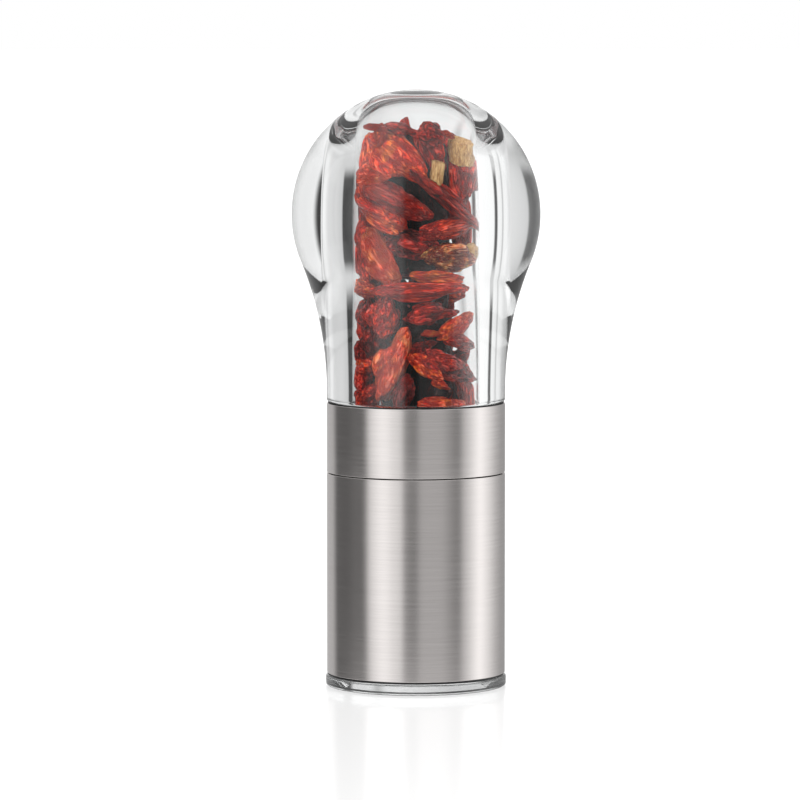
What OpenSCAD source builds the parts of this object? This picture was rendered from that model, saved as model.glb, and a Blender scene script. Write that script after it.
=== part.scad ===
// Table mill for dried chillies: a clear bulb of a hopper on a turning steel ring,
// over a steel tube that holds the cutter, standing on a clear closing cap.
// Millimetres. The axis of the mill is Z, and the cap stands on Z = 0.

/* [Steel tube] */
// Outer diameter of the steel tube
tube_d = 51; // [50:0.5:56]
// Wall of the steel sleeve and of the steel ring
steel_t = 0.8; // [0.5:0.1:1]
// Height of the lower sleeve
sleeve_h = 57.3; // [55:0.1:75]
// Height of the turning ring
ring_h = 19.7; // [19:0.1:26]
// Dark line between sleeve and ring
split_gap = 0.3; // [0.2:0.05:0.6]
// Rounding of the steel edges
steel_edge = 0.15; // [0.05:0.05:0.25]

/* [Closing cap] */
// Height of the clear disc that the mill stands on
cap_h = 3.3; // [2.6:0.1:6]
// How far the disc stands proud of the tube
cap_lip = 0.3; // [0:0.1:1.5]
// Depth of the plug that goes into the tube
cap_plug_h = 7; // [5:0.5:8]
// Wall of that plug
cap_plug_t = 2.3; // [2.1:0.1:3.5]
// Thickness of the floor inside the cap
cap_floor_t = 2.3; // [1.5:0.1:2.5]
// Depth of the relief under the cap
cap_relief_h = 0.6; // [0.3:0.1:1]

/* [Clear head] */
// Radius of the ball
ball_r = 35.5; // [33:0.5:40]
// Height of the ball's centre above the ring's seal
ball_z = 53.5; // [50:0.5:62]
// Straight neck above the seal
neck_h = 3; // [2:0.5:6]
// Wall of the spigot, and so the hollow's radius
spigot_wall = 3.8; // [3.4:0.1:5]
// Thickness of the crown over the hollow
crown_t = 2.5; // [2:0.5:8]
// Height of the shoulder that closes the hollow in an arch
shoulder_h = 16.5; // [8:0.5:20]
// Radius of the flat ceiling over that shoulder
ceiling_r = 5.5; // [3:0.5:9]
// Length of the spigot below the seal
spigot_h = 6.4; // [5.5:0.1:6.4]
// Rounding of the neck's lower edge
neck_edge = 0.9; // [0.4:0.1:1.2]
// Thickness of the black seal under the neck
seal_t = 0.3; // [0.2:0.1:1]

/* [Housing] */
// Thickness of the black rim under the sleeve
rim_t = 0.5; // [0.3:0.1:1.2]
// Wall of the skirt that takes the cap's plug
skirt_wall = 2.65; // [1.5:0.05:3.5]
// Height of that skirt
skirt_h = 8.7; // [8.5:0.1:10]
// Reach of the ledge that carries the cutter, in from the skirt
ledge_reach = 1.6; // [1:0.1:2.5]
// Height of that ledge
ledge_h = 10; // [9.5:0.5:12]
// Wall of the housing round the cutter
housing_wall = 2.05; // [1.2:0.05:2.5]
// Thickness of the flange at the top of the housing
flange_h = 3; // [2:0.5:4]
// Wall of the neck that the ring turns on
pivot_wall = 3.4; // [2.5:0.1:3.6]

/* [Turning ring] */
// Wall of the ring's liner round the retaining clip
ring_wall = 1.05; // [0.8:0.05:1.3]
// Wall of the socket that takes the clear head
socket_wall = 2.55; // [2:0.05:3]
// Thickness of the ring's ledge that carries the spider over the housing's neck
ring_ledge_t = 4.45; // [4.2:0.05:5]

/* [Cutter] */
// Thickness of the slotted plate
plate_t = 2; // [1.5:0.1:3]
// Slots in the plate
slot_n = 9; // [6:1:12]
// Width of a slot
slot_w = 3.2; // [2:0.1:3.6]
// Height of the toothed ring
tooth_h = 8; // [7:0.5:10]
// Width of the toothed ring, from its rim to its teeth
tooth_wall = 7.55; // [7:0.05:8.5]
// Depth of the notches between the teeth
notch_depth = 1; // [0.6:0.1:1.1]
// Number of teeth
tooth_n = 24; // [12:1:30]
// Blades of the rotor
blade_n = 3; // [2:1:4]
// Thickness of a blade
blade_t = 3; // [2:0.1:4]
// Width of a blade
blade_w = 4; // [3:0.1:5]
// Gap between blade tip and teeth
tip_gap = 0.4; // [0.2:0.1:0.8]
// Gap between blade and plate
cut_gap = 0.2; // [0.1:0.05:0.4]
// Radius of the rotor's hub
rotor_hub_r = 6; // [5.5:0.1:6.8]
// Height of the rotor's hub
rotor_hub_h = 5.8; // [4.5:0.1:7]

/* [Drive] */
// Diameter of the shaft
shaft_d = 6; // [5:0.1:6.5]
// Width across the shaft's flats
shaft_flats = 4.8; // [4.2:0.1:4.9]
// Diameter of the thread at the shaft's top
thread_d = 4.4; // [4:0.1:4.6]
// Wire of the spring on the shaft
spring_wire = 1.1; // [0.8:0.1:1.4]
// Turns of that spring
spring_turns = 4; // [3:1:5]
// Room for the spring between rotor and feeder
spring_room = 8; // [7:0.5:11]
// Height of the feeder's hub
feeder_h = 6; // [5:0.5:9]
// Arms of the feeder
feeder_n = 3; // [2:1:4]
// Thickness of a feeder arm
feeder_t = 1.8; // [1.2:0.1:2.5]
// Lean of a feeder arm
feeder_lean = 35; // [20:1:45]
// Gap between a feeder arm's end and the teeth's circle
feeder_gap = 0.8; // [0.5:0.1:3]
// Thickness of the spider's rim
spider_rim_t = 2; // [1.5:0.1:2]
// Depth of the spider's arms
spider_arm_h = 3; // [2.5:0.1:3.2]
// Width of a spider arm
spider_arm_w = 3.5; // [2.5:0.1:5]
// Height of the spider's hub
spider_hub_h = 6; // [5:0.5:9]

/* [Chillies] */
// Length of a dried chilli
chilli_l = 17; // [14:0.5:18]
// Thickness of a dried chilli
chilli_d = 8; // [6:0.1:8.2]
// Layers of chillies in the hopper
layer_n = 10; // [4:1:10]
// Lean of the chillies from layer to layer
chilli_lean = 8; // [0:1:10]

/* [Hidden] */
$fn = 96;

// Clearances, each on the radius or along the axis
glue_fit = 0.05;    // pieces fixed in one another
run_fit = 0.1;      // pieces that turn or slide in one another
shaft_fit = 0.05;   // shaft in its bush
seal_fit = 0.03;    // rubber ring against its walls
end_play = 0.05;    // turning faces, along the axis
groove_room = 0.15; // grooves of the rubber rings, above and below them
loose = 0.4;        // around the screws' heads
eps = 0.01;

// Steel tube
tube_r = tube_d / 2;
liner_r = tube_r - steel_t - glue_fit;
rim_z = cap_h;
sleeve_z = rim_z + rim_t;
flange_top = sleeve_z + sleeve_h;
ring_z = flange_top + split_gap;
ring_top = ring_z + ring_h;
seal_recess = 0.4;
rim_r = tube_r - 0.3;

// Closing cap
cap_edge = 0.8;
skirt_r = liner_r - skirt_wall;
plug_r = skirt_r - 0.15;
cap_bore_r = plug_r - cap_plug_t;
relief_r = cap_bore_r;
seal_d = 1.5;
cap_seal_z = cap_h + cap_plug_h / 2;
plug_groove_r = skirt_r - seal_fit - seal_d - seal_fit;

// Housing and cutter, upwards
skirt_top = rim_z + skirt_h;
ledge_r = skirt_r - ledge_reach;
plate_z = skirt_top + ledge_h;
cutter_room_r = liner_r - housing_wall;
plate_top = plate_z + plate_t;
cutter_r = cutter_room_r - glue_fit;
tooth_r = cutter_r - tooth_wall;
tooth_top = plate_top + tooth_h;
flange_z = flange_top - flange_h;

// Ring and spider, down from the clear head to the housing's neck
head_z = ring_top + seal_t;
spigot_z = head_z - spigot_h;
spider_screw_clear = 0.3;
spider_screw_head_h = 1.3;
ledge_top = spigot_z - spider_screw_clear - spider_screw_head_h - spider_rim_t;
ledge_z = ledge_top - ring_ledge_t;
glide_t = 0.5;
glide_top = ledge_z - end_play;
pivot_top = glide_top - glide_t;

// Neck and clip that the ring turns on
ring_clip_t = 0.8;
ring_clip_depth = 0.7;
ring_clip_reach = 0.9;
ring_clip_z = pivot_top - 1.8;
clip_room_r = liner_r - ring_wall;
pivot_r = clip_room_r - 0.3 - ring_clip_reach;
pivot_bore_r = pivot_r - pivot_wall;

// Hopper, and the passage from it up through the neck and the ring's ledge
hopper_low_h = 6;
hopper_cone_h = 12;
hopper_wall = 1.5;
hopper_flange_h = 2;
passage_r = pivot_bore_r - 0.1;

// Screws
plate_screw_n = 3;
plate_screw_r = 1.25;
plate_screw_head_r = 2.1;
plate_screw_ring = ledge_r - plate_screw_head_r - loose;
plate_screw_head_h = 1.9;
plate_screw_l = tooth_top - plate_z + 4;
spider_screw_n = 3;
spider_screw_r = 1;
spider_screw_bite = 3.4;
thread_fit = 0.02;

// Bush, washer and clip under the plate
bush_r = 5;
bush_flange_r = 6.5;
bush_flange_t = 1;
washer_t = 0.6;
washer_r = 6;
clip_t = 0.8;
clip_r = 5;
clip_depth = 0.55;
clip_opening = 3.4;
washer_top = plate_z - bush_flange_t - end_play;
washer_z = washer_top - washer_t;
shaft_clip_z = washer_z - end_play - clip_t;
shaft_z = shaft_clip_z - 1.5;

// Rotor, spring and feeder on the shaft
rotor_z = plate_top + cut_gap;
rotor_r = tooth_r - tip_gap;
rotor_top = rotor_z + rotor_hub_h;
feeder_z = rotor_top + spring_room;
feeder_hub_r = 5.2;
feeder_r = tooth_r - feeder_gap;
spring_r = shaft_d / 2 + run_fit + spring_wire / 2 + 0.4;

// Turning bearing between housing and ring, and what the ring carries
bearing_r = pivot_r + run_fit;
bearing_top = ring_clip_z - run_fit;
socket_r = liner_r - socket_wall;
spigot_r = socket_r - run_fit;
bore_r = spigot_r - spigot_wall;
spider_bore_r = bore_r + 0.4;
spider_r = socket_r - glue_fit;
spider_screw_ring = (spider_bore_r + spider_r) / 2;
spider_screw_head_r = (spider_r - spider_bore_r) / 2 - run_fit;
spider_arm_top = ledge_top + spider_arm_h;
spider_hub_r = 5.5;
spider_hub_z = spider_arm_top - spider_hub_h;
spider_arm_n = 3;

// Nut on the shaft
nut_flats = 8;
nut_h = 3;
nut_dome_r = 3.4;
thread_l = 3.4;
nut_top = spider_arm_top + nut_h + nut_dome_r - 1.4;

// Clear head
neck_r = tube_r;
bore_h = ball_z + ball_r - crown_t;
shoulder_z = bore_h - shoulder_h;
waist_r = ((ball_z - neck_h) ^ 2 + neck_r ^ 2 - ball_r ^ 2) / (2 * (ball_r - neck_r));
waist_angle = atan2(ball_z - neck_h, neck_r + waist_r);
waist_z = ball_z - ball_r * sin(waist_angle);
waist_x = ball_r * cos(waist_angle);
head_seal_z = (spigot_z + head_z) / 2 + 0.1;
spigot_groove_r = socket_r - seal_fit - seal_d - seal_fit;

// Chillies, with a gap between them and to the hollow's wall
layer_gap = 0.3;
layer_step = chilli_d + layer_gap;
layer_z = spider_arm_top + layer_gap + chilli_d / 2;
core_l = 2 * layer_step + layer_step / 2;
core_z = nut_top + layer_gap;
core_n = 3;

// Full turns, rings and repeats
module around(n, start = 0) {
    for (i = [0:n - 1]) rotate([0, 0, start + i * 360 / n]) children();
}

module tube(r_in, r_out, z_low, z_high) {
    translate([0, 0, z_low]) difference() {
        cylinder(r = r_out, h = z_high - z_low);
        translate([0, 0, -eps]) cylinder(r = r_in, h = z_high - z_low + 2 * eps);
    }
}

module turned(points) {
    rotate_extrude() polygon(points);
}

// A rubber ring of round section, centred at radius r
module rubber_ring(r, z, section_d) {
    translate([0, 0, z]) rotate_extrude() translate([r, 0]) circle(d = section_d, $fn = 32);
}

// A thin steel shell with its edges broken
module steel_shell(z_low, z_high) {
    turned([
        [tube_r - steel_t, z_low + steel_edge], [tube_r - steel_t + steel_edge, z_low],
        [tube_r - steel_edge, z_low], [tube_r, z_low + steel_edge],
        [tube_r, z_high - steel_edge], [tube_r - steel_edge, z_high],
        [tube_r - steel_t + steel_edge, z_high], [tube_r - steel_t, z_high - steel_edge]
    ]);
}

// An open ring of spring steel
module snap_ring(r_in, r_out, z, thick, opening) {
    difference() {
        tube(r_in, r_out, z, z + thick);
        translate([0, -opening / 2, z - eps]) cube([r_out + 1, opening, thick + 2 * eps]);
    }
}

// The shaft's section: round, with two flats
module shaft_section(clear = 0) {
    intersection() {
        circle(d = shaft_d + 2 * clear);
        square([shaft_d + 1, shaft_flats + 2 * clear], center = true);
    }
}

// ---- Closing cap ----

module base_cap() {
    disc_r = tube_r + cap_lip;
    color([0.93, 0.95, 0.96, 0.5]) difference() {
        turned([
            [0, cap_relief_h], [relief_r, cap_relief_h], [relief_r + cap_relief_h, 0],
            [disc_r - cap_edge, 0], [disc_r - 0.25 * cap_edge, 0.25 * cap_edge], [disc_r, cap_edge],
            [disc_r, cap_h - cap_edge], [disc_r - 0.25 * cap_edge, cap_h - 0.25 * cap_edge],
            [disc_r - cap_edge, cap_h],
            [plug_r, cap_h], [plug_r, cap_h + cap_plug_h - 0.5], [plug_r - 0.5, cap_h + cap_plug_h],
            [cap_bore_r, cap_h + cap_plug_h], [cap_bore_r, cap_relief_h + cap_floor_t],
            [0, cap_relief_h + cap_floor_t]
        ]);
        tube(plug_groove_r, plug_r + 1, cap_seal_z - seal_d / 2 - groove_room,
             cap_seal_z + seal_d / 2 + groove_room);
    }
}

module cap_seal() {
    color("black") rubber_ring(skirt_r - seal_fit - seal_d / 2, cap_seal_z, seal_d);
}

// ---- Housing: what stands still under the turning head ----

module lower_sleeve() {
    color("silver") steel_shell(sleeve_z, flange_top);
}

module housing_liner() {
    color([0.1, 0.1, 0.1]) difference() {
        turned([
            [skirt_r, rim_z], [rim_r, rim_z], [rim_r, sleeve_z], [liner_r, sleeve_z],
            [liner_r, flange_top], [pivot_r, flange_top], [pivot_r, pivot_top],
            [pivot_bore_r, pivot_top], [pivot_bore_r, flange_z], [cutter_room_r, flange_z],
            [cutter_room_r, plate_z], [ledge_r, plate_z], [ledge_r, skirt_top], [skirt_r, skirt_top]
        ]);
        tube(pivot_r - ring_clip_depth, pivot_r + 1,
             ring_clip_z - end_play, ring_clip_z + ring_clip_t + end_play);
    }
}

module hopper_funnel() {
    low_top = tooth_top + hopper_low_h;
    cone_top = low_top + hopper_cone_h;
    color([0.13, 0.13, 0.13]) difference() {
        turned([
            [tooth_r + notch_depth, tooth_top], [cutter_r, tooth_top], [cutter_r, low_top],
            [passage_r + hopper_wall, low_top],
            [passage_r + hopper_wall, flange_z - hopper_flange_h],
            [cutter_r, flange_z - hopper_flange_h], [cutter_r, flange_z],
            [passage_r, flange_z], [passage_r, cone_top], [tooth_r + 0.4, low_top],
            [tooth_r + 0.4, tooth_top + 1]
        ]);
        around(plate_screw_n) translate([plate_screw_ring, 0, plate_z])
            cylinder(r = plate_screw_r + thread_fit, h = plate_screw_l + 0.5, $fn = 32);
    }
}

module tooth_ring() {
    color("lightgray") difference() {
        tube(tooth_r, cutter_r, plate_top, tooth_top);
        translate([0, 0, plate_top - eps]) linear_extrude(tooth_h + 2 * eps)
            around(tooth_n, 180 / tooth_n) translate([tooth_r, 0]) rotate([0, 0, 45])
                square(notch_depth * sqrt(2), center = true);
        around(plate_screw_n) translate([plate_screw_ring, 0, plate_top - eps])
            cylinder(r = plate_screw_r + run_fit, h = tooth_h + 2 * eps, $fn = 32);
    }
}

module cutter_plate() {
    slot_in = bush_flange_r + 1.3;
    slot_out = tooth_r - 0.8;
    color("gainsboro") difference() {
        tube(bush_r, cutter_r, plate_z, plate_top);
        around(slot_n, 180 / slot_n) translate([slot_in, -slot_w / 2, plate_z - eps])
            cube([slot_out - slot_in, slot_w, plate_t + 2 * eps]);
        around(plate_screw_n) translate([plate_screw_ring, 0, plate_z - eps])
            cylinder(r = plate_screw_r + run_fit, h = plate_t + 2 * eps, $fn = 32);
    }
}

module plate_screws() {
    color("gray") around(plate_screw_n) translate([plate_screw_ring, 0, plate_z]) {
        cylinder(r = plate_screw_r, h = plate_screw_l, $fn = 32);
        translate([0, 0, -plate_screw_head_h]) difference() {
            cylinder(r = plate_screw_head_r, h = plate_screw_head_h, $fn = 32);
            translate([0, 0, -eps]) cylinder(r = 1.1, h = 1.2, $fn = 6);
        }
    }
}

module shaft_bush() {
    bore = shaft_d / 2 + shaft_fit;
    color("goldenrod") turned([
        [bore, plate_z - bush_flange_t], [bush_flange_r, plate_z - bush_flange_t],
        [bush_flange_r, plate_z], [bush_r - thread_fit, plate_z],
        [bush_r - thread_fit, plate_top], [bore, plate_top]
    ]);
}

module glide_ring() {
    color("ivory") tube(pivot_bore_r + 0.2, pivot_r - 0.1, pivot_top, glide_top);
}

module retaining_clip() {
    color("dimgray") snap_ring(pivot_r - ring_clip_depth + glue_fit, pivot_r + ring_clip_reach,
                               ring_clip_z, ring_clip_t, 5);
}

// ---- Turning ring and drive ----

module upper_ring() {
    color("silver") steel_shell(ring_z, ring_top);
}

module ring_liner() {
    color([0.1, 0.1, 0.1]) difference() {
        turned([
            [bearing_r, ring_z + end_play], [liner_r, ring_z + end_play], [liner_r, ring_top],
            [socket_r, ring_top], [socket_r, ledge_top], [passage_r, ledge_top],
            [passage_r, ledge_z], [clip_room_r, ledge_z], [clip_room_r, bearing_top],
            [bearing_r, bearing_top]
        ]);
        around(spider_screw_n, 60) translate([spider_screw_ring, 0, ledge_top - spider_screw_bite - 0.3])
            cylinder(r = spider_screw_r + thread_fit, h = spider_screw_bite + 1, $fn = 32);
    }
}

module neck_seal() {
    color("black") tube(socket_r + 0.2, tube_r - seal_recess, ring_top, head_z);
}

module drive_spider() {
    color([0.2, 0.2, 0.2]) difference() {
        union() {
            tube(spider_bore_r, spider_r, ledge_top, ledge_top + spider_rim_t);
            translate([0, 0, spider_hub_z]) cylinder(r = spider_hub_r, h = spider_hub_h);
            around(spider_arm_n) translate([0, -spider_arm_w / 2, ledge_top])
                cube([spider_bore_r + 0.6, spider_arm_w, spider_arm_h]);
        }
        translate([0, 0, spider_hub_z - eps]) linear_extrude(spider_hub_h + 2 * eps)
            shaft_section(glue_fit);
        around(spider_screw_n, 60) translate([spider_screw_ring, 0, ledge_top - eps])
            cylinder(r = spider_screw_r + run_fit, h = spider_rim_t + 2 * eps, $fn = 32);
    }
}

module spider_screws() {
    color("gray") around(spider_screw_n, 60) translate([spider_screw_ring, 0, ledge_top]) {
        translate([0, 0, -spider_screw_bite])
            cylinder(r = spider_screw_r, h = spider_screw_bite + spider_rim_t, $fn = 32);
        translate([0, 0, spider_rim_t]) difference() {
            cylinder(r = spider_screw_head_r, h = spider_screw_head_h, $fn = 32);
            translate([0, 0, spider_screw_head_h - 0.8]) cylinder(r = 0.8, h = 1, $fn = 6);
        }
    }
}

module drive_shaft() {
    flats_z = plate_top + cut_gap / 2;
    color("silver") difference() {
        union() {
            translate([0, 0, shaft_z]) cylinder(d = shaft_d, h = spider_arm_top - shaft_z);
            translate([0, 0, spider_arm_top - 1]) cylinder(d = thread_d - 2 * thread_fit, h = thread_l + 1);
        }
        for (side = [0, 180]) rotate([0, 0, side]) translate([-shaft_d, shaft_flats / 2, flats_z])
            cube([2 * shaft_d, shaft_d, spider_arm_top - flats_z]);
        tube(shaft_d / 2 - clip_depth, shaft_d, shaft_clip_z - end_play / 2,
             shaft_clip_z + clip_t + end_play / 2);
    }
}

module shaft_nut() {
    color("silver") difference() {
        union() {
            translate([0, 0, spider_arm_top]) cylinder(d = nut_flats / cos(30), h = nut_h, $fn = 6);
            translate([0, 0, spider_arm_top + nut_h]) intersection() {
                translate([0, 0, -1.4]) sphere(r = nut_dome_r);
                cylinder(r = nut_dome_r, h = nut_dome_r);
            }
        }
        translate([0, 0, spider_arm_top - eps]) cylinder(d = thread_d, h = thread_l + 0.2);
    }
}

module feeder() {
    arm_h = feeder_h * cos(feeder_lean) - feeder_t;
    color([0.75, 0.75, 0.72]) difference() {
        union() {
            translate([0, 0, feeder_z]) cylinder(r = feeder_hub_r, h = feeder_h);
            around(feeder_n) translate([0, 0, feeder_z + feeder_h / 2]) rotate([feeder_lean, 0, 0])
                translate([shaft_d / 2 + 1, -feeder_t / 2, -arm_h / 2])
                    cube([feeder_r - shaft_d / 2 - 1, feeder_t, arm_h]);
        }
        translate([0, 0, feeder_z - eps]) linear_extrude(feeder_h + 2 * eps) shaft_section(glue_fit);
    }
}

// A coil of round wire, closed at both ends, with 16 rings a turn
module rotor_spring() {
    sides = 8;
    rings = 16 * spring_turns;
    climb = spring_room - spring_wire - 2 * thread_fit;
    points = [
        for (i = [0:rings]) for (j = [0:sides - 1])
            let (
                turn = 360 * spring_turns * i / rings,
                side = 360 * j / sides,
                reach = spring_r + spring_wire / 2 * cos(side)
            )
            [reach * cos(turn), reach * sin(turn),
             rotor_top + thread_fit + spring_wire / 2 * (1 + sin(side)) + climb * i / rings]
    ];
    skin = [
        for (i = [0:rings - 1]) for (j = [0:sides - 1])
            [i * sides + j, (i + 1) * sides + j,
             (i + 1) * sides + (j + 1) % sides, i * sides + (j + 1) % sides]
    ];
    start = [for (j = [0:sides - 1]) j];
    end = [for (j = [sides - 1:-1:0]) rings * sides + j];
    color("silver") polyhedron(points, concat([start], skin, [end]), convexity = 8);
}

module cutter_rotor() {
    color("lightgray") difference() {
        union() {
            translate([0, 0, rotor_z]) cylinder(r = rotor_hub_r, h = rotor_hub_h);
            translate([0, 0, rotor_z]) linear_extrude(blade_t) intersection() {
                circle(r = rotor_r);
                around(blade_n) translate([0, -0.7 * blade_w]) square([tooth_r, blade_w]);
            }
        }
        translate([0, 0, rotor_z - eps]) linear_extrude(rotor_hub_h + 2 * eps)
            shaft_section(glue_fit);
    }
}

module thrust_washer() {
    color("goldenrod") tube(shaft_d / 2 + shaft_fit, washer_r, washer_z, washer_top);
}

module shaft_clip() {
    color("dimgray") snap_ring(shaft_d / 2 - clip_depth + thread_fit, clip_r,
                               shaft_clip_z, clip_t, clip_opening);
}

// ---- Chillies in the hopper ----

// One dried chilli along X: a blunt shoulder, a fat middle and a drawn-out tip
module chilli(length, d) {
    steps = 8;
    rotate([0, 90, 0]) rotate_extrude($fn = 32) polygon(concat(
        [[0, -length / 2]],
        [for (i = [0:steps]) let (s = i / steps)
            [d / 2 * (0.25 + 0.75 * sin(180 * pow(s, 0.8))), length * (0.96 * s - 0.48)]],
        [[0, length / 2]]
    ));
}

// Radius of the hollow at a height over the seal
function hollow_r(h) = h < shoulder_z ? bore_r
    : ceiling_r + (bore_r - ceiling_r) * sqrt(1 - ((h - shoulder_z) / shoulder_h) ^ 2);

// Four chillies lie round the wall in every layer, and a core stands in the middle.
// share picks every third one, for its colour.
module chillies(share) {
    for (layer = [0:layer_n - 1]) {
        z = layer_z + layer_step * layer;
        ring = hollow_r(z + chilli_d / 4 - head_z) - layer_gap - chilli_d / 2;
        for (side = [0:3]) if ((layer + side) % 3 == share)
            rotate([0, 0, 45 * layer + 90 * side]) translate([0, -ring, z])
                rotate([0, (layer % 2 == 0 ? 1 : -1) * chilli_lean, 0]) chilli(chilli_l, chilli_d);
    }
    for (i = [0:core_n - 1]) if (i % 3 == share)
        translate([0, 0, core_z + core_l / 2 + i * (core_l + layer_gap)])
            rotate([0, 90, 0]) chilli(core_l, chilli_d);
}

module chillies_red() {
    color("firebrick") chillies(0);
}

module chillies_orange() {
    color("orangered") chillies(1);
}

module chillies_dark() {
    color([0.35, 0.08, 0.06]) chillies(2);
}

// ---- Clear head ----

module head_dome() {
    color([0.95, 0.97, 0.98, 0.4]) translate([0, 0, head_z]) difference() {
        rotate_extrude() {
            intersection() {
                translate([0, ball_z]) circle(r = ball_r, $fn = 192);
                translate([0, waist_z]) square([ball_r + 1, 2 * ball_r]);
            }
            difference() {
                translate([0, neck_h]) square([waist_x, waist_z - neck_h]);
                translate([neck_r + waist_r, neck_h]) circle(r = waist_r, $fn = 360);
            }
            polygon([
                [0, 0], [neck_r - neck_edge, 0], [neck_r - 0.3 * neck_edge, 0.3 * neck_edge],
                [neck_r, neck_edge], [neck_r, neck_h], [0, neck_h]
            ]);
            translate([0, -spigot_h]) square([spigot_r, spigot_h + eps]);
        }
        turned(concat(
            [[0, -spigot_h - eps], [bore_r, -spigot_h - eps]],
            [for (turn = [0:5:90])
                [ceiling_r + (bore_r - ceiling_r) * cos(turn), shoulder_z + shoulder_h * sin(turn)]],
            [[0, bore_h]]
        ));
        tube(spigot_groove_r, spigot_r + 1, head_seal_z - head_z - seal_d / 2 - groove_room,
             head_seal_z - head_z + seal_d / 2 + groove_room);
    }
}

module head_seal() {
    color("whitesmoke") rubber_ring(socket_r - seal_fit - seal_d / 2, head_seal_z, seal_d);
}

base_cap();
cap_seal();
lower_sleeve();
housing_liner();
hopper_funnel();
tooth_ring();
cutter_plate();
plate_screws();
shaft_bush();
glide_ring();
retaining_clip();
upper_ring();
ring_liner();
neck_seal();
drive_spider();
spider_screws();
drive_shaft();
shaft_nut();
feeder();
rotor_spring();
cutter_rotor();
thrust_washer();
shaft_clip();
chillies_red();
chillies_orange();
chillies_dark();
head_dome();
head_seal();
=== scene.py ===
"""Looks for the chilli mill: clear acrylic head full of dried chillies, brushed steel tube, clear cap."""

import math
import random

import bpy
from mathutils import Matrix, Vector


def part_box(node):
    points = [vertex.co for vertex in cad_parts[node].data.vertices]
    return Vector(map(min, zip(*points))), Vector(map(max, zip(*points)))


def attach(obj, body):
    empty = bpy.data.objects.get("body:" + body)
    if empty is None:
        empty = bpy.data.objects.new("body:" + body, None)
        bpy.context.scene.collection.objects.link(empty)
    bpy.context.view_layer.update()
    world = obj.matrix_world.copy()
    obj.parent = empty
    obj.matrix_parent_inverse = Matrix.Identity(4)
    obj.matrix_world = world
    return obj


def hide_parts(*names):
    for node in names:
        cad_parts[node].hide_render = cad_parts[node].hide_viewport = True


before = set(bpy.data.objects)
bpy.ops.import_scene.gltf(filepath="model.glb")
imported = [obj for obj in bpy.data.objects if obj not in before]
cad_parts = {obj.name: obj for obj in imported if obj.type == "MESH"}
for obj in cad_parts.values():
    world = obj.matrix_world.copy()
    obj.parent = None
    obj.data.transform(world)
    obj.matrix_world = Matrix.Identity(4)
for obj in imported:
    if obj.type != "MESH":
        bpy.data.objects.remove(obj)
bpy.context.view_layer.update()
bpy.context.scene.view_settings.view_transform = "Standard"

MM = 0.001

# Places and sizes that come from the frame
TUBE_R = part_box("lower_sleeve")[1].x
SLEEVE_LOW, SLEEVE_TOP = (corner.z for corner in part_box("lower_sleeve"))
RING_LOW, RING_TOP = (corner.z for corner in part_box("upper_ring"))
SEAL_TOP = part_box("neck_seal")[1].z
DISC_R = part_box("base_cap")[1].x
PLUG_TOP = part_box("base_cap")[1].z
RIM_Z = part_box("housing_liner")[0].z
BALL_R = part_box("head_dome")[1].x
HEAD_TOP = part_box("head_dome")[1].z
SPIGOT_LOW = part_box("head_dome")[0].z
SPIDER_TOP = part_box("drive_spider")[1].z

# Sizes of the clear pieces that the frame's boxes don't give
BORE_R = 18.2 * MM
BORE_TOP = SEAL_TOP + 86.5 * MM
SHOULDER_H = 16.5 * MM
CEILING_R = 5.5 * MM
SPIGOT_R = 22 * MM
NECK_STRAIGHT = 3 * MM
NECK_EDGE = 0.9 * MM
PLUG_R = 21.85 * MM
PLUG_WALL = 2.3 * MM
CAP_FLOOR = 2.9 * MM
CAP_RELIEF = 0.6 * MM
CAP_EDGE = 0.8 * MM
STEEL_WALL = 0.8 * MM
STEEL_EDGE = 0.15 * MM
CAP_HAZE = 0.08
SPIGOT_CHAMFER = 0.3 * MM
SPIGOT_MARGIN = 0.05 * MM
PLUG_CHAMFER = 0.5 * MM
ROUND_STEPS = 256
SHOULDER_STEPS = 36
# Points nearer than this are one point, and edges shorter than this are none
WELD = 0.002 * MM
SLIVER = 0.001 * MM


# ---- Small tools of the bench ----


def deselect_all():
    for thing in bpy.context.selected_objects:
        thing.select_set(False)


def start_piece(name):
    """The primitive just added becomes a piece with this name, ready for edit mode."""
    piece = bpy.context.object
    piece.name = name
    piece.data.name = name
    return piece


def lathe(name, outline, closed, smooth_angle=35):
    """Spins an outline of (radius, height) points round the axis into a closed skin."""
    deselect_all()
    bpy.ops.mesh.primitive_plane_add(size=MM, location=(0, 0, 0))
    piece = start_piece(name)
    bpy.ops.object.mode_set(mode="EDIT")
    bpy.ops.mesh.select_all(action="SELECT")
    bpy.ops.mesh.merge(type="CENTER")
    radius, height = outline[0]
    bpy.ops.transform.translate(value=(radius, 0, height))
    for next_radius, next_height in outline[1:] + (outline[:1] if closed else []):
        step = (next_radius - radius, 0, next_height - height)
        bpy.ops.mesh.extrude_region_move(TRANSFORM_OT_translate={"value": step})
        radius, height = next_radius, next_height
    bpy.ops.mesh.select_all(action="SELECT")
    bpy.ops.mesh.spin(steps=ROUND_STEPS, angle=2 * math.pi, center=(0, 0, 0), axis=(0, 0, 1))
    bpy.ops.mesh.select_all(action="SELECT")
    bpy.ops.mesh.remove_doubles(threshold=WELD)
    bpy.ops.mesh.dissolve_degenerate(threshold=SLIVER)
    bpy.ops.mesh.normals_make_consistent(inside=False)
    bpy.ops.object.mode_set(mode="OBJECT")
    bpy.ops.object.shade_smooth_by_angle(angle=math.radians(smooth_angle))
    return piece


def arc(centre, radius, start, end, steps):
    """Points of an arc, from one angle to another in degrees, 0 pointing outwards."""
    points = []
    for i in range(steps + 1):
        turn = math.radians(start + (end - start) * i / steps)
        points.append((centre[0] + radius * math.cos(turn), centre[1] + radius * math.sin(turn)))
    return points


# ---- Materials ----


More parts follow.
